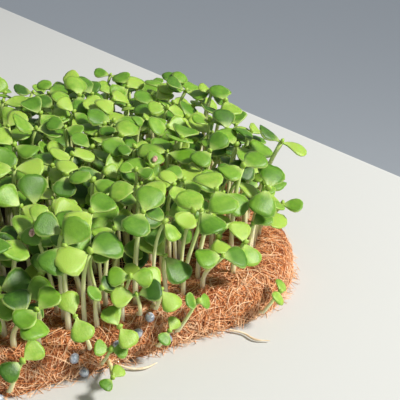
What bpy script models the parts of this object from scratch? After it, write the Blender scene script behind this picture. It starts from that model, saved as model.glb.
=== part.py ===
"""A slab of basil microgreens growing on a coconut-fibre mat.

The mat is a felted pad of coir with soft, rounded shoulders. Seedlings stand on it in clumps whose
roots have knitted into one pad each, single seedlings lean out over the front edge, and a few seeds
that never sprouted lie on the shoulder in their swollen gel coats.

Frame: metres, +Z up, +X along the mat's long side, origin at the middle of its underside.
"""

import math
import random

import bmesh
import bpy
from mathutils import Vector
from mathutils.bvhtree import BVHTree

# The mat: a rounded rectangle, soft at the shoulder.
MAT_LENGTH = 0.180
MAT_WIDTH = 0.120
MAT_THICKNESS = 0.012
CORNER_RADIUS = 0.033
CORNER_POINTS = 9
# Inset from the outline and height of each ring, from the underside to the flat top.
SHOULDER = (
    (0.0008, 0.0),
    (0.0, 0.0022),
    (0.0002, 0.0070),
    (0.0012, 0.0100),
    (0.0030, 0.0116),
    (0.0055, MAT_THICKNESS),
)
GAP = 0.0003  # between pieces that rest on each other

# Sowing: a grid of clumps, bare along the rim and barest at the front right corner.
COLUMNS, ROWS = 8, 5
SEEDLINGS_PER_CLUMP = 8
RIM = 0.0020
CORNER_BARE = 0.0130
CORNER_REACH = 0.028
CELL_MARGIN = 0.0016
ROOT_SPACING = 0.0042

# One seedling: a square-sided stem and two fan-shaped seed leaves.
STEM_WIDTH = 0.0012
NECK = 0.0008
PETIOLE = 0.3  # of the leaf's length
LEAF_LENGTH = (0.0056, 0.0073)
LEAF_WIDTH = (0.0073, 0.0094)
LEAF_THICKNESS = 0.0005
LEAF_SHAPE = ((0.58, 1.0), (1.0, 0.55))  # how far along the leaf, and its share of the full width
RISE = (-6.0, 26.0)  # degrees that a leaf stands above square to the stem
TALL = (0.0215, 0.0310)
SHORT = (0.0105, 0.0190)
SHORT_SHARE = 0.28
RIM_SHORT, RIM_BAND = 0.45, 0.014
RIM_LEAN = 0.0060
SWAY = 0.0016
TILT = (0.15, 0.60)
TILT_SPREAD = 0.16
RIM_TILT = 24.0
SKIRT_SLOPE = 0.53
SKIRT_CLEAR = 0.0080
LIGHT_FROM = Vector((0.25, -0.97, 0.0))  # seedlings turn their heads this way
CROWN_ROOM = 0.0040  # between one crown and the next
CLEARANCE = 0.0003  # kept round each seedling, so twice this between two
NEAR = 0.045  # seedlings whose crowns are further apart than this can't touch
TRIES = 110
PAD_RADIUS = 0.0014
PAD_THICKNESS = 0.0010
PAD_POINTS = 6

EDGE_BREADTH = 1.3  # of a small leaf's length

# Single seedlings over the front edge: where the root leaves the shoulder (along X, inset), the
# bend and the crown as seen from there, the direction that the head faces, and the leaf's length.
EDGE_SEEDLINGS = (
    ((-0.0126, 0.0), (0.0010, -0.0030, 0.0060), (0.0038, -0.0040, 0.0125), (0.1, -0.7, 0.7), 0.0056),
    ((0.0107, 0.0002), (-0.0015, -0.0028, 0.0080), (-0.0047, -0.0040, 0.0160), (-0.1, -0.6, 0.8), 0.0062),
    ((0.0130, 0.0), (0.0006, -0.0034, 0.0045), (0.0012, -0.0056, 0.0090), (0.0, -0.7, 0.7), 0.0042),
    ((0.0155, 0.0), (-0.0008, -0.0050, 0.0020), (-0.0030, -0.0104, 0.0036), (0.1, -0.45, 0.9), 0.0038),
    ((0.0214, 0.0001), (-0.0008, -0.0028, 0.0062), (-0.0040, -0.0046, 0.0120), (0.0, -0.6, 0.8), 0.0056),
    ((0.0265, 0.0025), (-0.0010, -0.0030, 0.0060), (-0.0031, -0.0055, 0.0120), (-0.2, -0.5, 0.8), 0.0062),
    ((0.0300, 0.0), (0.0008, -0.0026, 0.0040), (0.0020, -0.0038, 0.0076), (0.2, -0.7, 0.7), 0.0040),
    ((0.0312, 0.0028), (0.0002, -0.0032, 0.0050), (-0.0005, -0.0056, 0.0105), (0.1, -0.6, 0.8), 0.0062),
    ((0.0356, 0.0001), (0.0022, -0.0028, 0.0060), (0.0052, -0.0038, 0.0122), (0.4, -0.7, 0.6), 0.0044),
    ((0.0640, 0.0), (0.0018, -0.0020, 0.0042), (0.0042, -0.0030, 0.0088), (0.5, -0.5, 0.7), 0.0046),
)

# Seeds on the shoulder: place along X, and how far in from the front edge.
SEED_PLACES = (
    (-0.0155, 0.0),
    (0.0058, 0.0002),
    (0.0080, 0.0),
    (0.0184, 0.0002),
    (0.0244, 0.0007),
    (0.0289, 0.0019),
    (0.0328, 0.0001),
)
SEED_RADII = (0.0014, 0.0011, 0.0011)

# Pale roots that have grown out under the front edge: their points on the table.
ROOTS = (
    ((0.0180, -0.0618, 0.0010), (0.0205, -0.0645, 0.0008), (0.0240, -0.0660, 0.0008), (0.0280, -0.0655, 0.0008)),
    ((0.0530, -0.0618, 0.0010), (0.0560, -0.0650, 0.0008), (0.0575, -0.0690, 0.0008), (0.0610, -0.0715, 0.0008)),
)
ROOT_RADIUS = 0.0005


def material(name, colour, roughness):
    made = bpy.data.materials.new(name)
    made.use_nodes = True
    shader = made.node_tree.nodes["Principled BSDF"]
    shader.inputs["Base Color"].default_value = (*colour, 1.0)
    shader.inputs["Roughness"].default_value = roughness
    shader.inputs["Metallic"].default_value = 0.0
    return made


def add_object(name, bm, finish):
    """The mesh as an object in the scene, its faces turned outwards."""
    bmesh.ops.recalc_face_normals(bm, faces=bm.faces[:])
    mesh = bpy.data.meshes.new(name)
    bm.to_mesh(mesh)
    bm.free()
    mesh.materials.append(finish)
    obj = bpy.data.objects.new(name, mesh)
    bpy.context.scene.collection.objects.link(obj)
    return obj


# ---- the mat -------------------------------------------------------------------------------------


def outline(inset):
    """Points round the mat's rounded rectangle, taken in by inset."""
    radius = CORNER_RADIUS - inset
    points = []
    for quarter, (sx, sy) in enumerate(((1, 1), (-1, 1), (-1, -1), (1, -1))):
        centre = Vector((sx * (MAT_LENGTH / 2 - CORNER_RADIUS), sy * (MAT_WIDTH / 2 - CORNER_RADIUS)))
        for step in range(CORNER_POINTS):
            angle = (quarter + step / (CORNER_POINTS - 1)) * math.pi / 2
            points.append(centre + radius * Vector((math.cos(angle), math.sin(angle))))
    return points


def inside(x, y):
    """How far in from the mat's outline a point lies."""
    qx = abs(x) - (MAT_LENGTH / 2 - CORNER_RADIUS)
    qy = abs(y) - (MAT_WIDTH / 2 - CORNER_RADIUS)
    beyond = math.hypot(max(qx, 0.0), max(qy, 0.0)) + min(max(qx, qy), 0.0)
    return CORNER_RADIUS - beyond


def shoulder_height(inset):
    """Height of the mat's surface at this inset, above its widest ring."""
    rings = SHOULDER[1:]
    for (low_in, low_z), (high_in, high_z) in zip(rings, rings[1:]):
        if inset <= high_in:
            share = max(0.0, (inset - low_in) / (high_in - low_in))
            return low_z + share * (high_z - low_z)
    return MAT_THICKNESS


def on_shoulder(x, inset, lift):
    """A point on the mat's front side, lifted off its surface; and the surface's own direction."""
    step = 0.0004
    height = shoulder_height(inset)
    slope = (shoulder_height(inset + step) - height) / step
    normal = Vector((0.0, -slope, 1.0)).normalized()
    return Vector((x, inset - MAT_WIDTH / 2, height)) + normal * lift


def make_mat(finish):
    bm = bmesh.new()
    rings = []
    for inset, height in SHOULDER:
        verts = [bm.verts.new((p.x, p.y, height)) for p in outline(inset)]
        rings.append([bm.edges.new((a, b)) for a, b in zip(verts, verts[1:] + verts[:1])])
    for low, high in zip(rings, rings[1:]):
        bmesh.ops.bridge_loops(bm, edges=low + high)
    bmesh.ops.contextual_create(bm, geom=rings[0])
    bmesh.ops.contextual_create(bm, geom=rings[-1])
    mat = add_object("coir_mat", bm, finish)
    mat.data.shade_smooth()
    mat.data.set_sharp_from_angle(angle=math.radians(50))


# ---- where the seedlings stand -------------------------------------------------------------------


class Seedling:
    """A stem from root to crown, and two leaves held either side of the crown's heading."""

    def __init__(self, root, crown, up, heading, rises, length, width, bend=None):
        self.root, self.crown, self.bend = root, crown, bend
        self.up = up.normalized()
        self.across = self.up.cross(heading).normalized()
        self.heading = self.across.cross(self.up)
        self.rises, self.length, self.width = rises, length, width
        self.petiole = PETIOLE * length

    def leaf_axes(self, side):
        """Outward, across and upward directions of one leaf; side is 0 or 1."""
        out = self.heading * (1 - 2 * side)
        rise = self.rises[side]
        out = out * math.cos(rise) + self.up * math.sin(rise)
        across = self.across * (1 - 2 * side)
        return out, across, out.cross(across)

    def leaf_point(self, side, along, aside):
        """A point of a leaf: along from 0 at its base to 1 at its tip, aside from -1 to 1."""
        out, across, _ = self.leaf_axes(side)
        return self.crown + out * (self.petiole + along * self.length) + across * (aside * self.width / 2)

def is_sown(x, y):
    corner = math.hypot(x - MAT_LENGTH / 2, y + MAT_WIDTH / 2)
    return inside(x, y) > RIM + CORNER_BARE * math.exp(-0.5 * (corner / CORNER_REACH) ** 2)


def edge_lean(x, y):
    """Outward lean of a seedling: none in the middle, strongest at the rim."""
    u, v = 2 * x / MAT_LENGTH, 2 * y / MAT_WIDTH
    closeness = max(abs(u), abs(v))
    return Vector((u ** 3, v ** 3, 0.0)).normalized() * (RIM_LEAN * closeness ** 4)


def hangs_low(seedling):
    """Whether a leaf tip hangs down in front of the mat's rim and would hide it."""
    for side in (0, 1):
        tip = seedling.leaf_point(side, 1.0, 0.0)
        if tip.z - MAT_THICKNESS + SKIRT_SLOPE * inside(tip.x, tip.y) < SKIRT_CLEAR:
            return True
    return False


def random_seedling(rng, cell, roots):
    """One try at a seedling in a cell, or None where its root finds no room."""
    (low_x, low_y), (high_x, high_y) = cell
    x, y = rng.uniform(low_x, high_x), rng.uniform(low_y, high_y)
    if not is_sown(x, y) or any(math.hypot(x - a, y - b) < ROOT_SPACING for a, b in roots):
        return None
    stunted = SHORT_SHARE + RIM_SHORT * max(0.0, 1 - inside(x, y) / RIM_BAND)
    low, high = SHORT if rng.random() < stunted else TALL
    height = rng.uniform(low, high)
    lean = edge_lean(x, y) + Vector((rng.gauss(0, SWAY), rng.gauss(-SWAY / 2, SWAY), 0))
    root = Vector((x, y, MAT_THICKNESS + GAP + PAD_THICKNESS / 2))
    crown = root + Vector((lean.x, lean.y, height))
    tilt = LIGHT_FROM * rng.uniform(*TILT) + lean * RIM_TILT
    up = Vector((tilt.x + rng.gauss(0, TILT_SPREAD), tilt.y + rng.gauss(0, TILT_SPREAD), 1.0))
    turn = rng.uniform(0, math.pi)
    heading = Vector((math.cos(turn), math.sin(turn), 0))
    rises = (math.radians(rng.uniform(*RISE)), math.radians(rng.uniform(*RISE)))
    size = rng.random()
    length = LEAF_LENGTH[0] + size * (LEAF_LENGTH[1] - LEAF_LENGTH[0])
    width = LEAF_WIDTH[0] + size * (LEAF_WIDTH[1] - LEAF_WIDTH[0])
    seedling = Seedling(root, crown, up, heading, rises, length, width)
    return None if hangs_low(seedling) else seedling


def guard(seedling):
    """The seedling grown a little too thick, as a tree that feels what touches it."""
    bm = bmesh.new()
    grow_seedling(bm, seedling, CLEARANCE)
    tree = BVHTree.FromBMesh(bm)
    bm.free()
    return tree


def fits(seedling, placed):
    """The seedling's guard if it touches nothing already standing, or None."""
    near = [(place, other) for place, other in placed if (place - seedling.crown).length < NEAR]
    if any((place - seedling.crown).length < CROWN_ROOM for place, _ in near):
        return None
    tree = guard(seedling)
    return None if any(tree.overlap(other) for _, other in near) else tree


def edge_seedlings():
    found = []
    for number, ((x, inset), bend, crown, up, length) in enumerate(EDGE_SEEDLINGS):
        root = on_shoulder(x, inset, STEM_WIDTH)
        turn = 0.5 + 1.1 * number
        found.append(Seedling(
            root, root + Vector(crown), Vector(up), Vector((math.cos(turn), math.sin(turn), 0.1)),
            (math.radians(14), math.radians(9)), length, length * EDGE_BREADTH, root + Vector(bend)))
    return found


def sow_cell(rng, cell, placed):
    """Seedlings for one cell, each clear of everything placed so far."""
    clump = []
    for _ in range(TRIES * SEEDLINGS_PER_CLUMP):
        seedling = random_seedling(rng, cell, [(s.root.x, s.root.y) for s in clump])
        tree = fits(seedling, placed) if seedling else None
        if tree:
            placed.append((seedling.crown, tree))
            clump.append(seedling)
        if len(clump) == SEEDLINGS_PER_CLUMP:
            break
    return clump


def sow():
    """(clumps, singles): the seedlings of each cell of the grid, and those over the front edge."""
    rng = random.Random(11)
    singles = edge_seedlings()
    placed = [(s.crown, guard(s)) for s in singles]
    step_x = (MAT_LENGTH - 2 * RIM) / COLUMNS
    step_y = (MAT_WIDTH - 2 * RIM) / ROWS
    clumps = []
    for row in range(ROWS):
        for column in range(COLUMNS):
            low_x = RIM - MAT_LENGTH / 2 + column * step_x
            low_y = RIM - MAT_WIDTH / 2 + row * step_y
            cell = ((low_x + CELL_MARGIN, low_y + CELL_MARGIN),
                    (low_x + step_x - CELL_MARGIN, low_y + step_y - CELL_MARGIN))
            clumps.append(sow_cell(rng, cell, placed))
    return clumps, singles


# ---- the seedlings' solids -----------------------------------------------------------------------


def extrude_to(bm, face, corners):
    """Extrudes a face and puts its new corners at these places, in the face's own order."""
    old = [v.co.copy() for v in face.verts]
    made = bmesh.ops.extrude_face_region(bm, geom=[face] + list(face.edges))["geom"]
    end = next(g for g in made if isinstance(g, bmesh.types.BMFace))
    for v in end.verts:
        nearest = min(range(len(old)), key=lambda i: (old[i] - v.co).length_squared)
        v.co = corners[nearest]
    return end


def grow_leaf(bm, face, seedling, side, extra):
    """Pulls a leaf out of one side of the crown: widest past its middle, blunt at the tip."""
    out, across, up = seedling.leaf_axes(side)
    middle = face.calc_center_median()
    for along, breadth in LEAF_SHAPE:
        centre = seedling.leaf_point(side, along, 0.0)
        corners = []
        for v in face.verts:
            offset = v.co - middle
            left = math.copysign(1.0, offset.dot(across))
            top = math.copysign(1.0, offset.dot(up))
            corners.append(centre + across * (left * (breadth * seedling.width / 2 + extra))
                           + up * (top * (LEAF_THICKNESS / 2 + extra)))
        face = extrude_to(bm, face, corners)
        middle = face.calc_center_median()


def grow_seedling(bm, seedling, extra=0.0):
    """Adds one closed seedling: its stem, then a leaf from each side of the crown."""
    half = STEM_WIDTH / 2 + extra
    flat = Vector((seedling.heading.x, seedling.heading.y, 0)).normalized()
    side = Vector((-flat.y, flat.x, 0))
    square = ((-1, -1), (1, -1), (1, 1), (-1, 1))

    def ring(centre, u, v):
        return [centre + u * (a * half) + v * (b * half) for a, b in square]

    start = [bm.verts.new(p) for p in ring(seedling.root, flat, side)]
    face = bm.faces.new(start)
    if seedling.bend:
        face = extrude_to(bm, face, ring(seedling.bend, flat, side))
    low = seedling.crown - seedling.up * (NECK / 2)
    high = seedling.crown + seedling.up * (NECK / 2)
    face = extrude_to(bm, face, ring(low, seedling.heading, seedling.across))
    block_low = set(face.verts)
    face = extrude_to(bm, face, ring(high, seedling.heading, seedling.across))
    touching = {f for v in face.verts for f in v.link_faces if block_low & set(f.verts)}
    reach = {f: (f.calc_center_median() - seedling.crown).dot(seedling.heading) for f in touching}
    for number, side_face in enumerate((max(reach, key=reach.get), min(reach, key=reach.get))):
        grow_leaf(bm, side_face, seedling, number, extra)


def make_clump(name, clump, finish):
    """The seedlings of one cell, joined by the pad that their roots have knitted."""
    stand = bmesh.new()
    for seedling in clump:
        grow_seedling(stand, seedling)
    seedlings = add_object(name + "_seedlings", stand, finish)
    seedlings.hide_render = True
    seedlings.display_type = "WIRE"
    pad = bmesh.new()
    base = MAT_THICKNESS + GAP
    for seedling in clump:
        for step in range(PAD_POINTS):
            angle = step / PAD_POINTS * 2 * math.pi
            x = seedling.root.x + PAD_RADIUS * math.cos(angle)
            y = seedling.root.y + PAD_RADIUS * math.sin(angle)
            pad.verts.new((x, y, base))
            pad.verts.new((x, y, base + PAD_THICKNESS))
    hull = bmesh.ops.convex_hull(pad, input=pad.verts[:])
    loose = [g for g in hull["geom_interior"] if isinstance(g, bmesh.types.BMVert)]
    bmesh.ops.delete(pad, geom=loose, context="VERTS")
    bmesh.ops.dissolve_limit(pad, angle_limit=math.radians(1), verts=pad.verts[:], edges=pad.edges[:])
    whole = add_object(name, pad, finish)
    join = whole.modifiers.new("stems", "BOOLEAN")
    join.operation = "UNION"
    join.object = seedlings


def make_single(name, seedling, finish):
    bm = bmesh.new()
    grow_seedling(bm, seedling)
    add_object(name, bm, finish)


# ---- seeds and roots -----------------------------------------------------------------------------


def make_seed(name, place, finish):
    """A seed in its gel coat, resting against the front shoulder."""
    x, inset = place
    centre = on_shoulder(x, inset, SEED_RADII[0] + GAP)
    centre.z = max(centre.z, SEED_RADII[2] + GAP)
    bm = bmesh.new()
    bmesh.ops.create_icosphere(bm, subdivisions=1, radius=1.0)
    bmesh.ops.scale(bm, vec=SEED_RADII, verts=bm.verts[:])
    bmesh.ops.translate(bm, vec=centre, verts=bm.verts[:])
    add_object(name, bm, finish)


def make_root(name, points, finish):
    """A pale root lying on the table, square in section."""
    bm = bmesh.new()
    corners = ((-1, -1), (1, -1), (1, 1), (-1, 1))
    face = None
    for number, point in enumerate(points):
        here = Vector(point)
        before, after = Vector(points[max(number - 1, 0)]), Vector(points[min(number + 1, len(points) - 1)])
        along = (after - before).normalized()
        side = along.cross(Vector((0, 0, 1))).normalized()
        up = side.cross(along)
        ring = [here + side * (a * ROOT_RADIUS) + up * (b * ROOT_RADIUS) for a, b in corners]
        face = extrude_to(bm, face, ring) if face else bm.faces.new([bm.verts.new(p) for p in ring])
    add_object(name, bm, finish)


def main():
    for obj in list(bpy.data.objects):
        bpy.data.objects.remove(obj, do_unlink=True)
    coir = material("coir", (0.32, 0.115, 0.04), 0.95)
    green = material("seedling_green", (0.20, 0.42, 0.07), 0.5)
    gel = material("seed_gel", (0.16, 0.21, 0.27), 0.25)
    root = material("pale_root", (0.72, 0.62, 0.42), 0.6)
    make_mat(coir)
    clumps, singles = sow()
    for number, clump in enumerate(clumps):
        row, column = divmod(number, COLUMNS)
        make_clump(f"clump_r{row + 1}_c{column + 1}", clump, green)
    for number, seedling in enumerate(singles):
        make_single(f"edge_seedling_{number + 1}", seedling, green)
    for number, place in enumerate(SEED_PLACES):
        make_seed(f"gel_seed_{number + 1}", place, gel)
    for number, points in enumerate(ROOTS):
        make_root(f"root_{number + 1}", points, root)


main()
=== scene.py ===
"""A slab of basil microgreens on a coconut-fibre growing mat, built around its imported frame.

Metres, +Z up, +X along the mat's long side, origin at the middle of the mat's underside.
"""

import math
import random

import bmesh
import bpy
import numpy as np
from mathutils import Matrix, Vector, noise
from mathutils.bvhtree import BVHTree


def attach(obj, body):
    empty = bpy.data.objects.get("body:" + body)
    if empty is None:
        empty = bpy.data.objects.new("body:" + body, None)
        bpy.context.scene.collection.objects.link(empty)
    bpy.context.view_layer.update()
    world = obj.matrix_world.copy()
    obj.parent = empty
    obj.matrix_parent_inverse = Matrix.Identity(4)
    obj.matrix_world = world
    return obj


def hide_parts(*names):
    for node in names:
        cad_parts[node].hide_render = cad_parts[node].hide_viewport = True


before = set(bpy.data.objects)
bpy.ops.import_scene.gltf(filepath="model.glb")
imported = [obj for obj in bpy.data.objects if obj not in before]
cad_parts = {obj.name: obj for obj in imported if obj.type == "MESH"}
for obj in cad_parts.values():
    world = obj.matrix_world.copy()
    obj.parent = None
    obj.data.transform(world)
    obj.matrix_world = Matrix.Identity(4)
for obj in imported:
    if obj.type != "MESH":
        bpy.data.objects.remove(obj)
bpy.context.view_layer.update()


# ---- The felted slab -----------------------------------------------------------------------------
# The growing mat is coconut husk fibre, needle-felted into a pad and cut with rounded corners. It is
# damp and rust brown; its colour follows the fibre streaks, with painted shade darkening the hollows
# between them and, darkest of all, the middle under the stand. Its shoulder has gone soft with watering.

MAT_LENGTH = 0.180
MAT_WIDTH = 0.120
MAT_THICKNESS = 0.012
CORNER_RADIUS = 0.033
# Inset from the widest outline and height, going up the side and over the shoulder.
SHOULDER = (
    (0.0008, 0.0),
    (0.0, 0.0022),
    (0.0002, 0.0070),
    (0.0012, 0.0100),
    (0.0030, 0.0116),
    (0.0055, MAT_THICKNESS),
)
FELT_GRAIN = 0.0011
FELT_LUMPS = 0.0007
DARK_COIR = (0.20, 0.055, 0.016)
RUST_COIR = (0.78, 0.31, 0.100)
PALE_COIR = (0.93, 0.62, 0.38)


def piece_from(bm, name, *finishes):
    """The mesh as an object at the origin, its faces turned outwards, carrying these materials."""
    bmesh.ops.recalc_face_normals(bm, faces=bm.faces[:])
    mesh = bpy.data.meshes.new(name)
    bm.to_mesh(mesh)
    bm.free()
    for finish in finishes:
        mesh.materials.append(finish)
    mesh.shade_smooth()
    piece = bpy.data.objects.new(name, mesh)
    bpy.context.scene.collection.objects.link(piece)
    return piece


def new_finish(name, roughness):
    """A material and its nodes: (material, tree, shader)."""
    finish = bpy.data.materials.new(name)
    finish.use_nodes = True
    shader = finish.node_tree.nodes["Principled BSDF"]
    shader.inputs["Roughness"].default_value = roughness
    return finish, finish.node_tree, shader


def node(tree, kind, **settings):
    """A shader node. Settings are its properties, or its inputs where the name is one."""
    made = tree.nodes.new(kind)
    for key, value in settings.items():
        if key in made.inputs:
            made.inputs[key].default_value = value
        else:
            setattr(made, key, value)
    return made


def ramp(tree, factor, *stops):
    """A colour ramp fed by factor; each stop is (place, colour)."""
    made = tree.nodes.new("ShaderNodeValToRGB")
    while len(made.color_ramp.elements) < len(stops):
        made.color_ramp.elements.new(1.0)
    for element, (place, colour) in zip(made.color_ramp.elements, stops):
        element.position = place
        element.color = (*colour, 1.0)
    tree.links.new(factor, made.inputs["Fac"])
    return made.outputs["Color"]


def make_felt_group():
    """Crossing fibres: stretched noise laid three ways. Out come the height and a streak mask."""
    group = bpy.data.node_groups.new("felted_fibres", "ShaderNodeTree")
    group.interface.new_socket("Fibres per metre", in_out="INPUT", socket_type="NodeSocketFloat")
    group.interface.new_socket("Height", in_out="OUTPUT", socket_type="NodeSocketFloat")
    group.interface.new_socket("Streaks", in_out="OUTPUT", socket_type="NodeSocketFloat")
    start = group.nodes.new("NodeGroupInput")
    end = group.nodes.new("NodeGroupOutput")
    place = group.nodes.new("ShaderNodeTexCoord")
    highest = None
    for turn in ((0.2, 0.3, 0.4), (0.5, -0.6, 1.5), (-0.7, 0.9, 2.6)):
        lay = node(group, "ShaderNodeMapping", Rotation=turn, Scale=(1.0, 0.09, 1.0))
        strand = node(group, "ShaderNodeTexNoise", Detail=3.0, Roughness=0.6, Distortion=0.5)
        group.links.new(place.outputs["Object"], lay.inputs["Vector"])
        group.links.new(lay.outputs["Vector"], strand.inputs["Vector"])
        group.links.new(start.outputs["Fibres per metre"], strand.inputs["Scale"])
        if highest is None:
            highest = strand.outputs["Fac"]
        else:
            upper = node(group, "ShaderNodeMath", operation="MAXIMUM")
            group.links.new(highest, upper.inputs[0])
            group.links.new(strand.outputs["Fac"], upper.inputs[1])
            highest = upper.outputs[0]
    spread = node(group, "ShaderNodeMapRange")
    spread.inputs["From Min"].default_value = 0.45
    spread.inputs["From Max"].default_value = 0.75
    group.links.new(highest, spread.inputs["Value"])
    group.links.new(highest, end.inputs["Height"])
    group.links.new(spread.outputs["Result"], end.inputs["Streaks"])
    return group


felted_fibres = make_felt_group()


def coir_finish(name, low, middle, high, per_metre, bump):
    finish, tree, shader = new_finish(name, 0.92)
    felt = node(tree, "ShaderNodeGroup", node_tree=felted_fibres)
    felt.inputs["Fibres per metre"].default_value = per_metre
    # Darkest where the felt lies lowest: partly fibre colour, partly painted shade in the hollows.
    colour = ramp(tree, felt.outputs["Streaks"], (0.0, low), (0.45, middle), (1.0, high))
    relief = node(tree, "ShaderNodeBump", Strength=bump, Distance=0.0006)
    tree.links.new(felt.outputs["Height"], relief.inputs["Height"])
    tree.links.new(colour, shader.inputs["Base Color"])
    tree.links.new(relief.outputs["Normal"], shader.inputs["Normal"])
    return finish


def shade_under_stand(finish):
    """Paints shade on the mat under the stand: darker towards the middle, where the seedlings keep the light off."""
    tree = finish.node_tree
    shader = tree.nodes["Principled BSDF"]
    unshaded_colour = shader.inputs["Base Color"].links[0].from_socket
    place = node(tree, "ShaderNodeTexCoord")
    share = node(tree, "ShaderNodeVectorMath", operation="DIVIDE")
    share.inputs[1].default_value = (MAT_LENGTH / 2, MAT_WIDTH / 2, 1.0)
    tree.links.new(place.outputs["Object"], share.inputs[0])
    size = node(tree, "ShaderNodeVectorMath", operation="ABSOLUTE")
    tree.links.new(share.outputs[0], size.inputs[0])
    axes = node(tree, "ShaderNodeSeparateXYZ")
    tree.links.new(size.outputs[0], axes.inputs[0])
    furthest = node(tree, "ShaderNodeMath", operation="MAXIMUM")
    tree.links.new(axes.outputs["X"], furthest.inputs[0])
    tree.links.new(axes.outputs["Y"], furthest.inputs[1])
    # Painted shade: full within half way out from the middle, gone by 0.8 of the way to the rim.
    stand_shade = node(tree, "ShaderNodeMapRange")
    stand_shade.inputs["From Min"].default_value = 0.80
    stand_shade.inputs["From Max"].default_value = 0.50
    tree.links.new(furthest.outputs[0], stand_shade.inputs["Value"])
    shaded_colour = node(tree, "ShaderNodeMix", data_type="RGBA")
    shaded_colour.inputs["B"].default_value = (0.035, 0.018, 0.008, 1.0)
    tree.links.new(stand_shade.outputs["Result"], shaded_colour.inputs["Factor"])
    tree.links.new(unshaded_colour, shaded_colour.inputs["A"])
    tree.links.new(shaded_colour.outputs["Result"], shader.inputs["Base Color"])


slab_finish = coir_finish("coir_felt", DARK_COIR, (0.46, 0.145, 0.045), RUST_COIR, 900.0, 1.0)
# Paints the stand's shade into the middle of the mat's colour.
shade_under_stand(slab_finish)

slab = bmesh.new()
bmesh.ops.create_cube(slab, size=1.0)
bmesh.ops.scale(slab, vec=(MAT_LENGTH, MAT_WIDTH, MAT_THICKNESS), verts=slab.verts[:])
bmesh.ops.translate(slab, vec=(0, 0, MAT_THICKNESS / 2), verts=slab.verts[:])
upright = [e for e in slab.edges if abs(e.verts[0].co.z - e.verts[1].co.z) > MAT_THICKNESS / 2]
bmesh.ops.bevel(slab, geom=upright, offset=CORNER_RADIUS, segments=12, profile=0.5, material=-1, affect="EDGES")
top = [e for e in slab.edges if min(v.co.z for v in e.verts) > MAT_THICKNESS * 0.9]
bmesh.ops.bevel(slab, geom=top, offset=0.0052, segments=6, profile=0.5, material=-1, affect="EDGES")
mat = piece_from(slab, "coir_slab", slab_finish)
grain = mat.modifiers.new("grain", "REMESH")
grain.mode = "VOXEL"
grain.voxel_size = FELT_GRAIN
grain.use_smooth_shade = True
felted = bpy.data.meshes.new_from_object(mat.evaluated_get(bpy.context.evaluated_depsgraph_get()))
mat.modifiers.clear()
mat.data = felted
spots = np.array([v.co for v in felted.vertices])
facing = np.array([v.normal for v in felted.vertices])
lumps = np.array([noise.fractal(Vector(spot) * 260.0, 0.8, 2.1, 3) for spot in spots]) * FELT_LUMPS
spots += facing * np.where(spots[:, 2] > 0.0004, lumps, 0.0)[:, None]
spots[:, 2] = np.maximum(spots[:, 2], 0.0001)
felted.vertices.foreach_set("co", spots.ravel())
felted.update()
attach(mat, "root")
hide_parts("coir_mat")


# ---- The loose fibres ----------------------------------------------------------------------------
# Coarse coir fibres stand proud of the felt all round the side and over the shoulder. Each is a
# thin springy strand a few centimetres long, curled, and pale where its end has frayed and dried.

FIBRE_RADIUS = 0.00010
FIBRE_POINTS = 7
FIBRES_PER_SIDE = 2250
FRINGE_PER_SIDE = 520


def profile_at(height_along):
    """(inset, height, tilt) of the mat's surface this far up its side and over its shoulder."""
    rings = np.array(SHOULDER + ((0.045, MAT_THICKNESS),))
    run = np.concatenate([[0.0], np.cumsum(np.hypot(*np.diff(rings, axis=0).T))])
    inset = np.interp(height_along, run, rings[:, 0])
    rise = np.interp(height_along, run, rings[:, 1])
    ahead = np.interp(height_along + 0.001, run, rings[:, 0]) - inset
    climb = np.interp(height_along + 0.001, run, rings[:, 1]) - rise
    return inset, rise, np.arctan2(ahead, climb)


def rim_place(along):
    """Points and outward directions on the widest outline, this far round from the front left."""
    flat_x, flat_y = MAT_LENGTH - 2 * CORNER_RADIUS, MAT_WIDTH - 2 * CORNER_RADIUS
    quarter = CORNER_RADIUS * math.pi / 2
    lengths = (flat_x, quarter, flat_y, quarter, flat_x, quarter, flat_y, quarter)
    starts = np.cumsum((0.0,) + lengths)
    along = np.mod(along, starts[-1])
    side = np.clip(np.searchsorted(starts, along, side="right") - 1, 0, 7)
    over = along - starts[side]
    corners = np.array([(1, -1), (1, -1), (1, 1), (1, 1), (-1, 1), (-1, 1), (-1, -1), (-1, -1)])
    centre = corners[side] * (flat_x / 2, flat_y / 2)
    turn = (side // 2) * math.pi / 2 - math.pi / 2
    angle = turn + np.where(side % 2 == 1, over / CORNER_RADIUS, 0.0)
    out = np.stack([np.cos(angle), np.sin(angle)], axis=-1)
    forward = np.stack([-np.sin(turn), np.cos(turn)], axis=-1)
    straight = np.array(lengths)[side] - over
    back = np.where(side % 2 == 0, straight, 0.0)
    return centre - forward * back[..., None] + out * CORNER_RADIUS, out


def fibre_paths(rng, count, first, last, reach, lift, length):
    """Strands that wander over the rim between two places round it, up to reach above the table."""
    share = np.linspace(0.0, 1.0, FIBRE_POINTS)
    size = rng.uniform(*length, count)[:, None]
    heading = rng.uniform(0, 2 * math.pi, count)[:, None]
    curl = rng.normal(0, 2.2, count)[:, None] * share + np.cumsum(rng.normal(0, 0.35, (count, FIBRE_POINTS)), axis=1)
    step = size / (FIBRE_POINTS - 1)
    along = rng.uniform(first, last, count)[:, None] + np.cumsum(np.cos(heading + curl) * step, axis=1)
    up = rng.uniform(0.0, reach, count)[:, None] + np.cumsum(np.sin(heading + curl) * step, axis=1)
    up = np.abs(up)
    inset, rise, tilt = profile_at(up)
    spot, out = rim_place(along)
    proud = rng.uniform(0.0, lift, count)[:, None] * np.sin(share * math.pi * rng.uniform(0.6, 1.4, count)[:, None])
    proud = np.abs(proud) + 0.0002
    level = spot - out * inset[..., None] + out * (np.cos(tilt) * proud)[..., None]
    height = np.maximum(rise + np.sin(tilt) * proud, FIBRE_RADIUS)
    return np.concatenate([level, height[..., None]], axis=-1)


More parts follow.
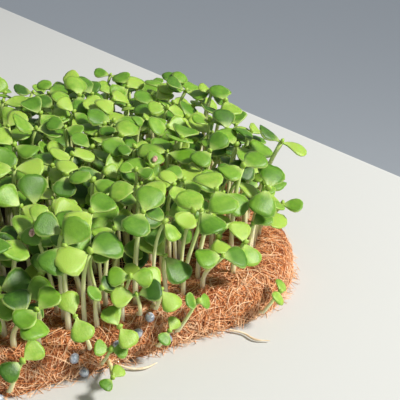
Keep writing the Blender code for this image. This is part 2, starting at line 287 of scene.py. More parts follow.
def fringe_paths(rng, count, first, last):
    """Frayed ends that stand out from the side, most of them low down, and droop to the table."""
    share = np.linspace(0.0, 1.0, FIBRE_POINTS)
    along = rng.uniform(first, last, count)[:, None] + rng.normal(0, 0.004, count)[:, None] * share ** 1.5
    base = np.abs(rng.normal(0.0, 0.006, count))[:, None]
    inset, rise, tilt = profile_at(base)
    spot, out = rim_place(along)
    reach = rng.uniform(0.0012, 0.0050, count)[:, None]
    sway = rng.normal(0, 0.0012, count)[:, None] * np.sin(share * math.pi)
    level = spot + out * (reach * share - inset - 0.001)[..., None]
    rest = np.minimum(rise, 0.012) * (1 - 0.5 * share ** 2) + sway + np.sin(tilt) * reach * share
    height = np.maximum(rest, FIBRE_RADIUS)
    return np.concatenate([level, height[..., None]], axis=-1)


def strands(name, paths, finishes, radius, rng):
    """Tapered strands along these paths, one mesh. Each strand picks one of the finishes."""
    line = bpy.data.curves.new(name, "CURVE")
    line.dimensions = "3D"
    line.bevel_depth = radius
    line.bevel_resolution = 0
    line.use_fill_caps = True
    for finish in finishes:
        line.materials.append(finish)
    points = paths.shape[1]
    taper = np.interp(np.linspace(0, 1, points), (0, 0.15, 0.75, 1), (0.5, 1.0, 0.9, 0.25))
    for path in paths:
        strand = line.splines.new("POLY")
        strand.points.add(points - 1)
        strand.points.foreach_set("co", np.append(path, np.ones((points, 1)), axis=1).ravel())
        strand.points.foreach_set("radius", taper * rng.uniform(0.6, 1.35))
        strand.material_index = int(rng.integers(len(finishes)))
        strand.use_smooth = True
    shape = bpy.data.objects.new(name, line)
    bpy.context.scene.collection.objects.link(shape)
    bpy.context.view_layer.update()
    mesh = bpy.data.meshes.new_from_object(shape.evaluated_get(bpy.context.evaluated_depsgraph_get()))
    bpy.data.objects.remove(shape)
    piece = bpy.data.objects.new(name, mesh)
    bpy.context.scene.collection.objects.link(piece)
    return piece


fibre_finishes = [
    coir_finish("coir_fibre_dark", (0.22, 0.060, 0.018), (0.38, 0.115, 0.038), (0.56, 0.190, 0.066), 500.0, 0.2),
    coir_finish("coir_fibre_rust", (0.50, 0.165, 0.055), RUST_COIR, (0.80, 0.38, 0.17), 500.0, 0.2),
    coir_finish("coir_fibre_rust_light", (0.66, 0.28, 0.11), (0.82, 0.42, 0.20), (0.88, 0.54, 0.30), 500.0, 0.2),
    coir_finish("coir_fibre_pale", (0.80, 0.46, 0.25), PALE_COIR, (0.96, 0.76, 0.56), 500.0, 0.2),
]

fringe_finishes = [fibre_finishes[2], fibre_finishes[3], fibre_finishes[3]]
fibre_rng = np.random.default_rng(3)
perimeter = 2 * (MAT_LENGTH + MAT_WIDTH) - 8 * CORNER_RADIUS + 2 * math.pi * CORNER_RADIUS
sides = ("front", "front_right", "right", "back", "back_left", "left")
for number, side in enumerate(sides):
    first = number * perimeter / len(sides)
    last = first + perimeter / len(sides)
    laid = fibre_paths(fibre_rng, FIBRES_PER_SIDE, first, last, 0.030, 0.0011, (0.006, 0.024))
    frayed = fringe_paths(fibre_rng, FRINGE_PER_SIDE, first, last)
    for name, paths, finishes in (("fibres", laid, fibre_finishes), ("fringe", frayed, fringe_finishes)):
        tuft = strands(f"{name}_{side}", paths, finishes, FIBRE_RADIUS, fibre_rng)
        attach(tuft, "root")


# ---- The seedlings -------------------------------------------------------------------------------
# Basil a week or so up: a pale juicy stem, two thick seed leaves that broaden to a blunt rounded
# edge, and the first true leaves still folded between them. They stand rooted in the mat, crowded
# enough for the leaves to close over, turned to the light, and leaning out all round the rim.

GAP = 0.0003
COLUMNS, ROWS = 8, 5
SEEDLINGS_PER_CLUMP = 8
RIM = 0.0020
CORNER_BARE = 0.0130
CORNER_REACH = 0.028
CELL_MARGIN = 0.0016
ROOT_SPACING = 0.0042
STEM_WIDTH = 0.0012
NECK = 0.0008
PETIOLE = 0.3  # of the leaf's length
LEAF_LENGTH = (0.0056, 0.0073)
LEAF_WIDTH = (0.0073, 0.0094)
LEAF_THICKNESS = 0.0005
LEAF_SHAPE = ((0.58, 1.0), (1.0, 0.55))
RISE = (-6.0, 26.0)
TALL = (0.0215, 0.0310)
SHORT = (0.0105, 0.0190)
SHORT_SHARE = 0.28
RIM_SHORT, RIM_BAND = 0.45, 0.014
RIM_LEAN = 0.0060
SWAY = 0.0016
TILT = (0.15, 0.60)
TILT_SPREAD = 0.16
RIM_TILT = 24.0
SKIRT_SLOPE = 0.53
SKIRT_CLEAR = 0.0080
LIGHT_FROM = Vector((0.25, -0.97, 0.0))
CROWN_ROOM = 0.0040
CLEARANCE = 0.0003
NEAR = 0.045
TRIES = 110
LATE_ROOM = 0.0024
LATE_WANTED, LATE_TRIES = 15, 400
LATE_MORE = 110  # more tries for each row further back
LATE_SIZE = (0.62, 0.95)
PAD_THICKNESS = 0.0010
EDGE_BREADTH = 1.3  # of a small leaf's length
EDGE_SEEDLINGS = (
    ((-0.0126, 0.0), (0.0010, -0.0030, 0.0060), (0.0038, -0.0040, 0.0125), (0.1, -0.7, 0.7), 0.0056),
    ((0.0107, 0.0002), (-0.0015, -0.0028, 0.0080), (-0.0047, -0.0040, 0.0160), (-0.1, -0.6, 0.8), 0.0062),
    ((0.0130, 0.0), (0.0006, -0.0034, 0.0045), (0.0012, -0.0056, 0.0090), (0.0, -0.7, 0.7), 0.0042),
    ((0.0155, 0.0), (-0.0008, -0.0050, 0.0020), (-0.0030, -0.0104, 0.0036), (0.1, -0.45, 0.9), 0.0038),
    ((0.0214, 0.0001), (-0.0008, -0.0028, 0.0062), (-0.0040, -0.0046, 0.0120), (0.0, -0.6, 0.8), 0.0056),
    ((0.0265, 0.0025), (-0.0010, -0.0030, 0.0060), (-0.0031, -0.0055, 0.0120), (-0.2, -0.5, 0.8), 0.0062),
    ((0.0300, 0.0), (0.0008, -0.0026, 0.0040), (0.0020, -0.0038, 0.0076), (0.2, -0.7, 0.7), 0.0040),
    ((0.0312, 0.0028), (0.0002, -0.0032, 0.0050), (-0.0005, -0.0056, 0.0105), (0.1, -0.6, 0.8), 0.0062),
    ((0.0356, 0.0001), (0.0022, -0.0028, 0.0060), (0.0052, -0.0038, 0.0122), (0.4, -0.7, 0.6), 0.0044),
    ((0.0640, 0.0), (0.0018, -0.0020, 0.0042), (0.0042, -0.0030, 0.0088), (0.5, -0.5, 0.7), 0.0046),
)


def inside(x, y):
    """How far in from the mat's outline a point lies."""
    qx = abs(x) - (MAT_LENGTH / 2 - CORNER_RADIUS)
    qy = abs(y) - (MAT_WIDTH / 2 - CORNER_RADIUS)
    beyond = math.hypot(max(qx, 0.0), max(qy, 0.0)) + min(max(qx, qy), 0.0)
    return CORNER_RADIUS - beyond


def shoulder_height(inset):
    """Height of the mat's surface at this inset, above its widest ring."""
    rings = SHOULDER[1:]
    for (low_in, low_z), (high_in, high_z) in zip(rings, rings[1:]):
        if inset <= high_in:
            share = max(0.0, (inset - low_in) / (high_in - low_in))
            return low_z + share * (high_z - low_z)
    return MAT_THICKNESS


def on_shoulder(x, inset, lift):
    """A point on the mat's front side, lifted off its surface."""
    step = 0.0004
    height = shoulder_height(inset)
    slope = (shoulder_height(inset + step) - height) / step
    normal = Vector((0.0, -slope, 1.0)).normalized()
    return Vector((x, inset - MAT_WIDTH / 2, height)) + normal * lift


class Seedling:
    """A stem from root to crown, and two leaves held either side of the crown's heading."""

    def __init__(self, root, crown, up, heading, rises, length, width, bend=None):
        self.root, self.crown, self.bend = root, crown, bend
        self.up = up.normalized()
        self.across = self.up.cross(heading).normalized()
        self.heading = self.across.cross(self.up)
        self.rises, self.length, self.width = rises, length, width
        self.petiole = PETIOLE * length

    def leaf_axes(self, side):
        """Outward, across and upward directions of one leaf; side is 0 or 1."""
        out = self.heading * (1 - 2 * side)
        rise = self.rises[side]
        out = out * math.cos(rise) + self.up * math.sin(rise)
        across = self.across * (1 - 2 * side)
        return out, across, out.cross(across)

    def leaf_point(self, side, along, aside):
        """A point of a leaf: along from 0 at its base to 1 at its tip, aside from -1 to 1."""
        out, across, _ = self.leaf_axes(side)
        return self.crown + out * (self.petiole + along * self.length) + across * (aside * self.width / 2)


def is_sown(x, y):
    corner = math.hypot(x - MAT_LENGTH / 2, y + MAT_WIDTH / 2)
    return inside(x, y) > RIM + CORNER_BARE * math.exp(-0.5 * (corner / CORNER_REACH) ** 2)


def edge_lean(x, y):
    """Outward lean of a seedling: none in the middle, strongest at the rim."""
    u, v = 2 * x / MAT_LENGTH, 2 * y / MAT_WIDTH
    closeness = max(abs(u), abs(v))
    return Vector((u ** 3, v ** 3, 0.0)).normalized() * (RIM_LEAN * closeness ** 4)


def hangs_low(seedling):
    """Whether a leaf tip hangs down in front of the mat's rim and would hide it."""
    for side in (0, 1):
        tip = seedling.leaf_point(side, 1.0, 0.0)
        if tip.z - MAT_THICKNESS + SKIRT_SLOPE * inside(tip.x, tip.y) < SKIRT_CLEAR:
            return True
    return False


def random_seedling(rng, cell, roots):
    """One try at a seedling in a cell, or None where its root finds no room."""
    (low_x, low_y), (high_x, high_y) = cell
    x, y = rng.uniform(low_x, high_x), rng.uniform(low_y, high_y)
    if not is_sown(x, y) or any(math.hypot(x - a, y - b) < ROOT_SPACING for a, b in roots):
        return None
    stunted = SHORT_SHARE + RIM_SHORT * max(0.0, 1 - inside(x, y) / RIM_BAND)
    low, high = SHORT if rng.random() < stunted else TALL
    height = rng.uniform(low, high)
    lean = edge_lean(x, y) + Vector((rng.gauss(0, SWAY), rng.gauss(-SWAY / 2, SWAY), 0))
    root = Vector((x, y, MAT_THICKNESS + GAP + PAD_THICKNESS / 2))
    crown = root + Vector((lean.x, lean.y, height))
    tilt = LIGHT_FROM * rng.uniform(*TILT) + lean * RIM_TILT
    up = Vector((tilt.x + rng.gauss(0, TILT_SPREAD), tilt.y + rng.gauss(0, TILT_SPREAD), 1.0))
    turn = rng.uniform(0, math.pi)
    heading = Vector((math.cos(turn), math.sin(turn), 0))
    rises = (math.radians(rng.uniform(*RISE)), math.radians(rng.uniform(*RISE)))
    size = rng.random()
    length = LEAF_LENGTH[0] + size * (LEAF_LENGTH[1] - LEAF_LENGTH[0])
    width = LEAF_WIDTH[0] + size * (LEAF_WIDTH[1] - LEAF_WIDTH[0])
    seedling = Seedling(root, crown, up, heading, rises, length, width)
    return None if hangs_low(seedling) else seedling


def extrude_to(bm, face, corners):
    """Extrudes a face and puts its new corners at these places, in the face's own order."""
    old = [v.co.copy() for v in face.verts]
    made = bmesh.ops.extrude_face_region(bm, geom=[face] + list(face.edges))["geom"]
    end = next(g for g in made if isinstance(g, bmesh.types.BMFace))
    for v in end.verts:
        nearest = min(range(len(old)), key=lambda i: (old[i] - v.co).length_squared)
        v.co = corners[nearest]
    return end


def grow_leaf_block(bm, face, seedling, side, extra):
    """Pulls a plain leaf out of one side of the crown, to feel for room with."""
    out, across, up = seedling.leaf_axes(side)
    middle = face.calc_center_median()
    for along, breadth in LEAF_SHAPE:
        centre = seedling.leaf_point(side, along, 0.0)
        corners = []
        for v in face.verts:
            offset = v.co - middle
            left = math.copysign(1.0, offset.dot(across))
            over = math.copysign(1.0, offset.dot(up))
            corners.append(centre + across * (left * (breadth * seedling.width / 2 + extra))
                           + up * (over * (LEAF_THICKNESS / 2 + extra)))
        face = extrude_to(bm, face, corners)
        middle = face.calc_center_median()


def grow_block(bm, seedling, extra):
    """A seedling in plain blocks, this much too thick all round."""
    half = STEM_WIDTH / 2 + extra
    flat = Vector((seedling.heading.x, seedling.heading.y, 0)).normalized()
    side = Vector((-flat.y, flat.x, 0))
    square = ((-1, -1), (1, -1), (1, 1), (-1, 1))

    def ring(centre, u, v):
        return [centre + u * (a * half) + v * (b * half) for a, b in square]

    start = [bm.verts.new(p) for p in ring(seedling.root, flat, side)]
    face = bm.faces.new(start)
    if seedling.bend:
        face = extrude_to(bm, face, ring(seedling.bend, flat, side))
    low = seedling.crown - seedling.up * (NECK / 2)
    high = seedling.crown + seedling.up * (NECK / 2)
    face = extrude_to(bm, face, ring(low, seedling.heading, seedling.across))
    block_low = set(face.verts)
    face = extrude_to(bm, face, ring(high, seedling.heading, seedling.across))
    touching = {f for v in face.verts for f in v.link_faces if block_low & set(f.verts)}
    reach = {f: (f.calc_center_median() - seedling.crown).dot(seedling.heading) for f in touching}
    for number, side_face in enumerate((max(reach, key=reach.get), min(reach, key=reach.get))):
        grow_leaf_block(bm, side_face, seedling, number, extra)


def guard(seedling, extra=CLEARANCE):
    """The seedling grown a little too thick, as a tree that feels what touches it."""
    bm = bmesh.new()
    grow_block(bm, seedling, extra)
    tree = BVHTree.FromBMesh(bm)
    bm.free()
    return tree


def fits(seedling, placed, room=CROWN_ROOM, extra=CLEARANCE):
    """The seedling's guard if it touches nothing already standing, or None."""
    near = [(place, other) for place, other in placed if (place - seedling.crown).length < NEAR]
    if any((place - seedling.crown).length < room for place, _ in near):
        return None
    tree = guard(seedling, extra)
    return None if any(tree.overlap(other) for _, other in near) else tree


def edge_seedlings():
    found = []
    for number, ((x, inset), bend, crown, up, length) in enumerate(EDGE_SEEDLINGS):
        root = on_shoulder(x, inset, STEM_WIDTH)
        turn = 0.5 + 1.1 * number
        found.append(Seedling(
            root, root + Vector(crown), Vector(up), Vector((math.cos(turn), math.sin(turn), 0.1)),
            (math.radians(14), math.radians(9)), length, length * EDGE_BREADTH, root + Vector(bend)))
    return found


def sow_cell(rng, cell, placed):
    """Seedlings for one cell, each clear of everything placed so far."""
    clump = []
    for _ in range(TRIES * SEEDLINGS_PER_CLUMP):
        seedling = random_seedling(rng, cell, [(s.root.x, s.root.y) for s in clump])
        tree = fits(seedling, placed) if seedling else None
        if tree:
            placed.append((seedling.crown, tree))
            clump.append(seedling)
        if len(clump) == SEEDLINGS_PER_CLUMP:
            break
    return clump


def sow():
    """(clumps, singles, placed): each cell's seedlings, those over the front edge, and all guards."""
    rng = random.Random(11)
    singles = edge_seedlings()
    placed = [(s.crown, guard(s)) for s in singles]
    step_x = (MAT_LENGTH - 2 * RIM) / COLUMNS
    step_y = (MAT_WIDTH - 2 * RIM) / ROWS
    clumps = []
    for row in range(ROWS):
        for column in range(COLUMNS):
            low_x = RIM - MAT_LENGTH / 2 + column * step_x
            low_y = RIM - MAT_WIDTH / 2 + row * step_y
            cell = ((low_x + CELL_MARGIN, low_y + CELL_MARGIN),
                    (low_x + step_x - CELL_MARGIN, low_y + step_y - CELL_MARGIN))
            clumps.append(sow_cell(rng, cell, placed))
    return clumps, singles, placed


def fill_in(clump, placed, rng, wanted, tries):
    """Undergrowth and latecomers that squeeze in between the seedlings of a clump."""
    found = []
    roots = [s.root for s in clump]
    if not roots:
        return found
    low = Vector((min(r.x for r in roots) - 0.004, min(r.y for r in roots) - 0.004))
    high = Vector((max(r.x for r in roots) + 0.004, max(r.y for r in roots) + 0.004))
    for _ in range(tries):
        late = random_seedling(rng, (low, high), ())
        if late is None or len(found) == wanted:
            continue
        size = rng.uniform(*LATE_SIZE)
        late.length, late.width, late.petiole = late.length * size, late.width * size, late.petiole * size
        tree = fits(late, placed, LATE_ROOM, 0.0)
        if tree:
            placed.append((late.crown, tree))
            found.append(late)
    return found


YOUNG = 0.82  # how far open the leaves of the ones over the edge are
# How far out each row of the seed leaf lies, its half width, and how much its ends sweep outwards.
LEAF_ROWS = (
    (-0.30, 0.09, 0.0),
    (-0.17, 0.12, 0.0),
    (-0.02, 0.40, 0.02),
    (0.24, 0.76, 0.0),
    (0.54, 0.98, -0.02),
    (0.83, 0.94, -0.09),
    (1.0, 0.66, -0.10),
)
LEAF_COLUMNS = 6
BLADE = 0.00042
STEM_SIDES = 6
STEM_RINGS = 7
STEM_FOOT, STEM_WAIST, STEM_HEAD = 0.00090, 0.00074, 0.00064


def leaf_place(seedling, side, t, s, form):
    """A point of the curved leaf: t along its rows, s from -1 to 1 across them."""
    out, across, up = seedling.leaf_axes(side)
    low = int(min(t, len(LEAF_ROWS) - 1.001))
    share = t - low
    (a, wide_a, sweep_a), (b, wide_b, sweep_b) = LEAF_ROWS[low], LEAF_ROWS[low + 1]
    along = a + share * (b - a) + (sweep_a + share * (sweep_b - sweep_a)) * s * s
    wide = (wide_a + share * (wide_b - wide_a)) * (1 - form["round"] * max(0.0, along - 0.5))
    aside = s * wide
    notch = -0.035 * max(0.0, along - 0.8) / 0.2 * math.exp(-((s / 0.22) ** 2))
    half = seedling.width / 2
    droop = -form["dome"] * half * aside * aside - form["dip"] * seedling.length * max(along, 0.0) ** 2
    crease = -0.045 * half * math.exp(-((aside / 0.12) ** 2)) * max(0.0, 1 - along)
    wave = form["wave"] * half * math.sin(form["phase"] + 5.0 * along) * aside
    return (seedling.crown + out * ((along + notch) * seedling.length + seedling.petiole) + across * (aside * half)
            + up * (droop + crease + wave + form["dip"] * seedling.length * 0.15))


def grow_seed_leaf(bm, layers, seedling, side, rng):
    """One thick seed leaf, from a grid that is bent to shape and given its thickness."""
    form = {
        "dome": rng.uniform(0.04, 0.34) if rng.random() < 0.7 else rng.uniform(-0.30, 0.0),
        "dip": rng.uniform(0.0, 0.30),
        "wave": rng.uniform(-0.16, 0.16),
        "phase": rng.uniform(0, 6.28),
        "round": rng.uniform(-0.05, 0.35),
    }
    tone = min(1.0, max(0.0, rng.gauss(0.5, 0.22)))
    rows = len(LEAF_ROWS) - 1
    grid = bmesh.ops.create_grid(bm, x_segments=rows, y_segments=LEAF_COLUMNS, size=0.5)["verts"]
    for v in grid:
        t, s = (v.co.x + 0.5) * rows, v.co.y * 2
        along = LEAF_ROWS[round(t)][0]
        v.co = leaf_place(seedling, side, t, s, form)
        v[layers["along"]] = along
        v[layers["aside"]] = s
        v[layers["tone"]] = tone
    faces = list({f for v in grid for f in v.link_faces})
    bmesh.ops.recalc_face_normals(bm, faces=faces)
    bmesh.ops.solidify(bm, geom=faces, thickness=BLADE)


def stem_line(seedling):
    """Points from root to crown: upright out of the mat, then curving into the crown."""
    height = (seedling.crown - seedling.root).length
    start, end = seedling.root.copy(), seedling.crown.copy()
    if seedling.bend:
        first = start.lerp(seedling.bend, 0.7)
        second = seedling.bend.lerp(end, 0.4)
    else:
        first = start + Vector((0, 0, height * 0.4))
        second = end - seedling.up * (height * 0.3)
    line = []
    for step in range(STEM_RINGS + 1):
        t = step / STEM_RINGS
        u = 1 - t
        line.append(start * u ** 3 + first * (3 * u * u * t) + second * (3 * u * t * t) + end * t ** 3)
    return line


def grow_stem(bm, layers, seedling, rng):
    line = stem_line(seedling)
    line[0] = line[0] - Vector((0, 0, 0.001)) if not seedling.bend else line[0] + Vector((0, 0.002, 0))
    tone = rng.random()
    plump = rng.uniform(0.85, 1.15) * (0.55 + 0.45 * seedling.length / LEAF_LENGTH[1])
    face = None
    for number, point in enumerate(line):
        share = number / STEM_RINGS
        along = (line[min(number + 1, STEM_RINGS)] - line[max(number - 1, 0)]).normalized()
        sideways = along.cross(seedling.across).normalized()
        other = along.cross(sideways)
        radius = plump * float(np.interp(share, (0, 0.25, 0.85, 1.0), (STEM_FOOT, STEM_WAIST, STEM_HEAD, 0.00075)))
        ring = []
        for corner in range(STEM_SIDES):
            angle = 2 * math.pi * corner / STEM_SIDES
            ring.append(point + sideways * (radius * math.cos(angle)) + other * (radius * math.sin(angle)))
        if face is None:
            face = bm.faces.new([bm.verts.new(p) for p in ring])
            new = face.verts[:]
        else:
            face = extrude_to(bm, face, ring)
            new = face.verts[:]
        for v in new:
            v[layers["along"]] = share
            v[layers["aside"]] = 0.0
            v[layers["tone"]] = tone
    return {f for v in face.verts for f in v.link_faces}


def grow_bud(bm, layers, seedling, rng):
    """The first true leaves, folded together between the seed leaves."""
    size = rng.uniform(0.0007, 0.0011)
    lie = Matrix.Translation(seedling.crown + seedling.up * (size * 0.6))
    turn = Matrix((seedling.heading, seedling.across, seedling.up)).transposed().to_4x4()
    shape = Matrix.Diagonal((0.75, 1.15, 1.2, 1.0))
    made = bmesh.ops.create_icosphere(bm, subdivisions=1, radius=size, matrix=lie @ turn @ shape)["verts"]
    for v in made:
        v[layers["along"]] = 0.2
        v[layers["aside"]] = 0.4
        v[layers["tone"]] = 0.9
    return made


def make_seedlings(name, seedlings, rng):
    """Several seedlings as one piece: stems in the first finish, leaves and buds in the second."""
    bm = bmesh.new()
    layers = {key: bm.verts.layers.float.new(key) for key in ("along", "aside", "tone")}
    for seedling in seedlings:
        grow_stem(bm, layers, seedling, rng)
    stem_faces = set(bm.faces)
    for seedling in seedlings:
        for side in (0, 1):
            grow_seed_leaf(bm, layers, seedling, side, rng)
        grow_bud(bm, layers, seedling, rng)
    for f in bm.faces:
        f.material_index = 0 if f in stem_faces else 1
    piece = piece_from(bm, name, stem_finish, leaf_finish)
    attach(piece, "root")
    return piece


def make_leaf_finish():
    """Satin seed leaf: each leaf its own green, paler at the base and along the rim."""
    finish, tree, shader = new_finish("basil_leaf", 0.46)
    tone = node(tree, "ShaderNodeAttribute", attribute_name="tone")
    along = node(tree, "ShaderNodeAttribute", attribute_name="along")
    aside = node(tree, "ShaderNodeAttribute", attribute_name="aside")
    place = node(tree, "ShaderNodeTexCoord")
    mottle = node(tree, "ShaderNodeTexNoise", Scale=420.0, Detail=4.0, Roughness=0.6)
    tree.links.new(place.outputs["Object"], mottle.inputs["Vector"])
    mixed = node(tree, "ShaderNodeMath", operation="MULTIPLY_ADD")
    tree.links.new(mottle.outputs["Fac"], mixed.inputs[0])
    mixed.inputs[1].default_value = 0.5
    tree.links.new(tone.outputs["Fac"], mixed.inputs[2])
    green = ramp(tree, mixed.outputs[0], (0.25, (0.030, 0.100, 0.004)), (0.55, (0.088, 0.225, 0.010)),
                 (0.80, (0.175, 0.350, 0.024)), (1.00, (0.310, 0.470, 0.060)))
    width = node(tree, "ShaderNodeMath", operation="ABSOLUTE")
    tree.links.new(aside.outputs["Fac"], width.inputs[0])
    rim = node(tree, "ShaderNodeMapRange")
    rim.inputs["From Min"].default_value = 0.86
    rim.inputs["From Max"].default_value = 1.0
    tree.links.new(width.outputs[0], rim.inputs["Value"])
    base = node(tree, "ShaderNodeMapRange")
    base.inputs["From Min"].default_value = 0.22
    base.inputs["From Max"].default_value = -0.10
    tree.links.new(along.outputs["Fac"], base.inputs["Value"])
    paler = node(tree, "ShaderNodeMath", operation="MAXIMUM")
    tree.links.new(rim.outputs["Result"], paler.inputs[0])
    tree.links.new(base.outputs["Result"], paler.inputs[1])
    amount = node(tree, "ShaderNodeMath", operation="MULTIPLY")
    amount.inputs[1].default_value = 0.65
    tree.links.new(paler.outputs[0], amount.inputs[0])
    blend = node(tree, "ShaderNodeMix", data_type="RGBA")
    blend.inputs["B"].default_value = (0.46, 0.58, 0.17, 1.0)
    tree.links.new(amount.outputs[0], blend.inputs["Factor"])
    tree.links.new(green, blend.inputs["A"])
    tree.links.new(blend.outputs["Result"], shader.inputs["Base Color"])
    cells = node(tree, "ShaderNodeTexNoise", Scale=2600.0, Detail=2.0)
    tree.links.new(place.outputs["Object"], cells.inputs["Vector"])
    relief = node(tree, "ShaderNodeBump", Strength=0.28, Distance=0.0003)
    tree.links.new(cells.outputs["Fac"], relief.inputs["Height"])
    tree.links.new(relief.outputs["Normal"], shader.inputs["Normal"])
    shader.inputs["Specular IOR Level"].default_value = 0.5
    shader.inputs["Subsurface Weight"].default_value = 0.35
    shader.inputs["Subsurface Radius"].default_value = (0.5, 1.0, 0.12)
    shader.inputs["Subsurface Scale"].default_value = 0.0009
    return finish


def make_stem_finish():
    """Watery stem: cream where it leaves the mat, greener towards the crown."""
    finish, tree, shader = new_finish("basil_stem", 0.35)
    along = node(tree, "ShaderNodeAttribute", attribute_name="along")
    tone = node(tree, "ShaderNodeAttribute", attribute_name="tone")
    shift = node(tree, "ShaderNodeMath", operation="MULTIPLY_ADD")
    tree.links.new(tone.outputs["Fac"], shift.inputs[0])
    shift.inputs[1].default_value = 0.25
    tree.links.new(along.outputs["Fac"], shift.inputs[2])
    colour = ramp(tree, shift.outputs[0], (0.05, (0.88, 0.82, 0.60)), (0.50, (0.78, 0.80, 0.44)),
                  (1.0, (0.50, 0.66, 0.20)))
    place = node(tree, "ShaderNodeTexCoord")
    streak = node(tree, "ShaderNodeTexNoise", Scale=900.0, Detail=3.0)
    tree.links.new(place.outputs["Object"], streak.inputs["Vector"])
    relief = node(tree, "ShaderNodeBump", Strength=0.15, Distance=0.0003)
    tree.links.new(streak.outputs["Fac"], relief.inputs["Height"])
    tree.links.new(relief.outputs["Normal"], shader.inputs["Normal"])
    tree.links.new(colour, shader.inputs["Base Color"])
    shader.inputs["Subsurface Weight"].default_value = 0.4
    shader.inputs["Subsurface Radius"].default_value = (0.9, 1.0, 0.4)
    shader.inputs["Subsurface Scale"].default_value = 0.0012
    return finish


leaf_finish = make_leaf_finish()
stem_finish = make_stem_finish()
clumps, singles, placed = sow()
growth = random.Random(5)
latecomers = [fill_in(clump, placed, growth, LATE_WANTED, LATE_TRIES + number // COLUMNS * LATE_MORE)
              for number, clump in enumerate(clumps)]
for number, (clump, late) in enumerate(zip(clumps, latecomers)):
    row, column = divmod(number, COLUMNS)
    standing = make_seedlings(f"basil_r{row + 1}_c{column + 1}", clump + late, growth)
    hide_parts(f"clump_r{row + 1}_c{column + 1}")
for number, single in enumerate(singles):
    single.length, single.width = single.length * YOUNG, single.width * YOUNG
    leaning = make_seedlings(f"basil_edge_{number + 1}", [single], growth)
    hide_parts(f"edge_seedling_{number + 1}")


# ---- The seed husks ------------------------------------------------------------------------------
# Some seedlings come up still wearing the split seed coat. It has dried on one leaf as a small
# pinkish-brown cap.

HUSK_EVERY = 45
HUSK_RADII = (0.0012, 0.0008, 0.0007)


def make_husk_finish():
    finish, tree, shader = new_finish("seed_husk", 0.7)
    place = node(tree, "ShaderNodeTexCoord")
    stain = node(tree, "ShaderNodeTexNoise", Scale=1300.0, Detail=3.0)
    tree.links.new(place.outputs["Object"], stain.inputs["Vector"])
    colour = ramp(tree, stain.outputs["Fac"], (0.35, (0.30, 0.14, 0.10)), (0.6, (0.72, 0.46, 0.40)))
    tree.links.new(colour, shader.inputs["Base Color"])
    return finish


husk_finish = make_husk_finish()
everyone = [seedling for clump, late in zip(clumps, latecomers) for seedling in clump + late]
for number, seedling in enumerate(everyone[HUSK_EVERY // 2::HUSK_EVERY]):
    out, across, up = seedling.leaf_axes(number % 2)
    bm = bmesh.new()
    bmesh.ops.create_icosphere(bm, subdivisions=2, radius=1.0)
    bmesh.ops.scale(bm, vec=HUSK_RADII, verts=bm.verts[:])
    bmesh.ops.rotate(bm, matrix=Matrix((out, across, up)).transposed(), verts=bm.verts[:])
    centre = seedling.leaf_point(number % 2, 0.3, 0.0) + up * (HUSK_RADII[2] * 0.7)
    bmesh.ops.translate(bm, vec=centre, verts=bm.verts[:])
    husk = piece_from(bm, f"seed_husk_{number + 1}", husk_finish)
    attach(husk, "root")


# ---- The seeds -----------------------------------------------------------------------------------
# Basil seed swells a clear jelly coat when it is watered. The few that never came up lie on the
# shoulder as small wet beads, blue-grey, with the black seed showing through.

SEED_PLACES = (
    (-0.0155, 0.0),
    (0.0058, 0.0002),
    (0.0080, 0.0),
    (0.0184, 0.0002),
    (0.0244, 0.0007),
    (0.0289, 0.0019),
    (0.0328, 0.0001),
)
SEED_RADII = (0.0014, 0.0011, 0.0011)


def make_gel_finish():
    finish, tree, shader = new_finish("seed_jelly", 0.12)
    place = node(tree, "ShaderNodeTexCoord")
    cloud = node(tree, "ShaderNodeTexNoise", Scale=900.0, Detail=3.0)
    tree.links.new(place.outputs["Object"], cloud.inputs["Vector"])
    colour = ramp(tree, cloud.outputs["Fac"], (0.38, (0.24, 0.29, 0.37)), (0.52, (0.50, 0.57, 0.68)),
                  (0.66, (0.80, 0.84, 0.90)))
    tree.links.new(colour, shader.inputs["Base Color"])
    shader.inputs["Alpha"].default_value = 0.78
    shader.inputs["Coat Weight"].default_value = 0.6
    return finish


def make_kernel_finish():
    finish, tree, shader = new_finish("seed_kernel", 0.45)
    place = node(tree, "ShaderNodeTexCoord")
    pits = node(tree, "ShaderNodeTexNoise", Scale=1500.0, Detail=2.0)
    tree.links.new(place.outputs["Object"], pits.inputs["Vector"])
    colour = ramp(tree, pits.outputs["Fac"], (0.3, (0.004, 0.005, 0.008)), (0.7, (0.03, 0.032, 0.045)))
    tree.links.new(colour, shader.inputs["Base Color"])
    return finish


gel_finish = make_gel_finish()
kernel_finish = make_kernel_finish()
for number, (x, inset) in enumerate(SEED_PLACES):
    centre = on_shoulder(x, inset, SEED_RADII[0] + GAP)
    centre.z = max(centre.z, SEED_RADII[2] + GAP)
    for name, size, finish in (("seed_jelly", 1.2, gel_finish), ("seed_kernel", 0.70, kernel_finish)):
        bm = bmesh.new()
        bmesh.ops.create_icosphere(bm, subdivisions=3, radius=1.0)
        bmesh.ops.scale(bm, vec=[r * size for r in SEED_RADII], verts=bm.verts[:])
        bmesh.ops.rotate(bm, matrix=Matrix.Rotation(0.9 * number, 3, "Z"), verts=bm.verts[:])
        bmesh.ops.translate(bm, vec=centre, verts=bm.verts[:])
        bead = piece_from(bm, f"{name}_{number + 1}", finish)
        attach(bead, "root")
        if name == "seed_jelly":
            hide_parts(f"gel_seed_{number + 1}")


# ---- The roots -----------------------------------------------------------------------------------
# A couple of cream roots have found their way out under the front edge and run a little way over
# the surface that the mat lies on.

ROOTS = (
    ((0.0180, -0.0618, 0.0010), (0.0205, -0.0645, 0.0008), (0.0240, -0.0660, 0.0008), (0.0280, -0.0655, 0.0008)),
    ((0.0530, -0.0618, 0.0010), (0.0560, -0.0650, 0.0008), (0.0575, -0.0690, 0.0008), (0.0610, -0.0715, 0.0008)),
)


ROOT_RADIUS = 0.00035


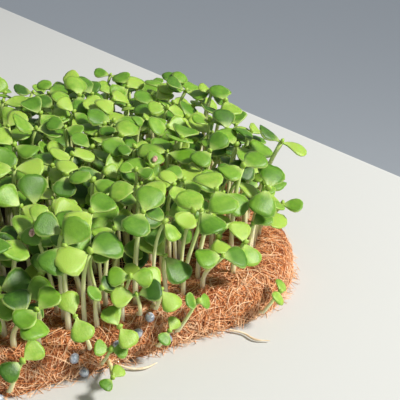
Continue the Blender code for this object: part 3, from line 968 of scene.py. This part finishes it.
def make_root_finish():
    finish, tree, shader = new_finish("cream_root", 0.5)
    place = node(tree, "ShaderNodeTexCoord")
    stain = node(tree, "ShaderNodeTexNoise", Scale=500.0, Detail=3.0)
    tree.links.new(place.outputs["Object"], stain.inputs["Vector"])
    colour = ramp(tree, stain.outputs["Fac"], (0.35, (0.74, 0.56, 0.36)), (0.65, (0.92, 0.84, 0.64)))
    tree.links.new(colour, shader.inputs["Base Color"])
    return finish


root_finish = make_root_finish()
for number, points in enumerate(ROOTS):
    line = bpy.data.curves.new("root_line", "CURVE")
    line.dimensions = "3D"
    line.bevel_depth = ROOT_RADIUS
    line.bevel_resolution = 2
    line.use_fill_caps = True
    line.materials.append(root_finish)
    strand = line.splines.new("BEZIER")
    strand.bezier_points.add(len(points) - 1)
    for knot, point in zip(strand.bezier_points, points):
        knot.co = point
        knot.handle_left_type = knot.handle_right_type = "AUTO"
    strand.bezier_points[-1].radius = 0.35
    shape = bpy.data.objects.new("root_shape", line)
    bpy.context.scene.collection.objects.link(shape)
    bpy.context.view_layer.update()
    mesh = bpy.data.meshes.new_from_object(shape.evaluated_get(bpy.context.evaluated_depsgraph_get()))
    bpy.data.objects.remove(shape)
    root = bpy.data.objects.new(f"creeping_root_{number + 1}", mesh)
    bpy.context.scene.collection.objects.link(root)
    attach(root, "root")
    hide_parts(f"root_{number + 1}")


# ---- The table, the lights and the camera --------------------------------------------------------
# The mat lies on a plain white table near one of its edges, over a grey floor, in soft daylight.

table = bmesh.new()
bmesh.ops.create_cube(table, size=1.0)
bmesh.ops.scale(table, vec=(2.4, 3.2, 0.03), verts=table.verts[:])
bmesh.ops.translate(table, vec=(-1.2, 0.0, -0.015), verts=table.verts[:])
bmesh.ops.bevel(table, geom=table.edges[:], offset=0.004, segments=4, profile=0.5, material=-1, affect="EDGES")
bmesh.ops.rotate(table, matrix=Matrix.Rotation(0.212, 3, "Z"), verts=table.verts[:])
bmesh.ops.translate(table, vec=(0.168, 0.0, 0.0), verts=table.verts[:])
white_finish, white_tree, white_shader = new_finish("white_table", 0.6)
white_shader.inputs["Base Color"].default_value = (0.600, 0.610, 0.605, 1.0)
tabletop = piece_from(table, "tabletop", white_finish)
tabletop.data.shade_flat()

ground = bmesh.new()
bmesh.ops.create_grid(ground, x_segments=1, y_segments=1, size=6.0)
bmesh.ops.translate(ground, vec=(0, 0, -0.75), verts=ground.verts[:])
grey_finish, grey_tree, grey_shader = new_finish("grey_floor", 0.9)
grey_shader.inputs["Base Color"].default_value = (0.68, 0.73, 0.79, 1.0)
floor = piece_from(ground, "floor", grey_finish)

world = bpy.data.worlds.new("daylight")
world.use_nodes = True
world.node_tree.nodes["Background"].inputs["Color"].default_value = (0.92, 0.96, 1.0, 1.0)
world.node_tree.nodes["Background"].inputs["Strength"].default_value = 0.36
bpy.context.scene.world = world


def soft_light(name, place, target, size, power, colour):
    lamp = bpy.data.lights.new(name, "AREA")
    lamp.shape = "DISK"
    lamp.size = size
    lamp.energy = power
    lamp.color = colour
    holder = bpy.data.objects.new(name, lamp)
    holder.location = place
    holder.rotation_euler = (Vector(place) - Vector(target)).to_track_quat("Z", "Y").to_euler()
    bpy.context.scene.collection.objects.link(holder)


soft_light("window", (0.80, -0.70, 0.95), (0.03, 0, 0.02), 0.26, 28.0, (1.0, 0.97, 0.90))

CAMERA_TURN, CAMERA_RISE = math.radians(-27.2), math.radians(27.83)
CAMERA_AIM = Vector((0.0835, 0.0165, 0.0))
view = bpy.data.cameras.new("camera")
view.sensor_width = 36.0
view.lens = 72.0
view.clip_start = 0.01
eye = bpy.data.objects.new("camera", view)
away = Vector((math.sin(CAMERA_TURN) * math.cos(CAMERA_RISE), -math.cos(CAMERA_TURN) * math.cos(CAMERA_RISE),
               math.sin(CAMERA_RISE)))
eye.location = CAMERA_AIM + away * 0.3096
eye.rotation_euler = away.to_track_quat("Z", "Y").to_euler()
bpy.context.scene.collection.objects.link(eye)
bpy.context.scene.camera = eye
bpy.context.scene.view_settings.view_transform = "Standard"
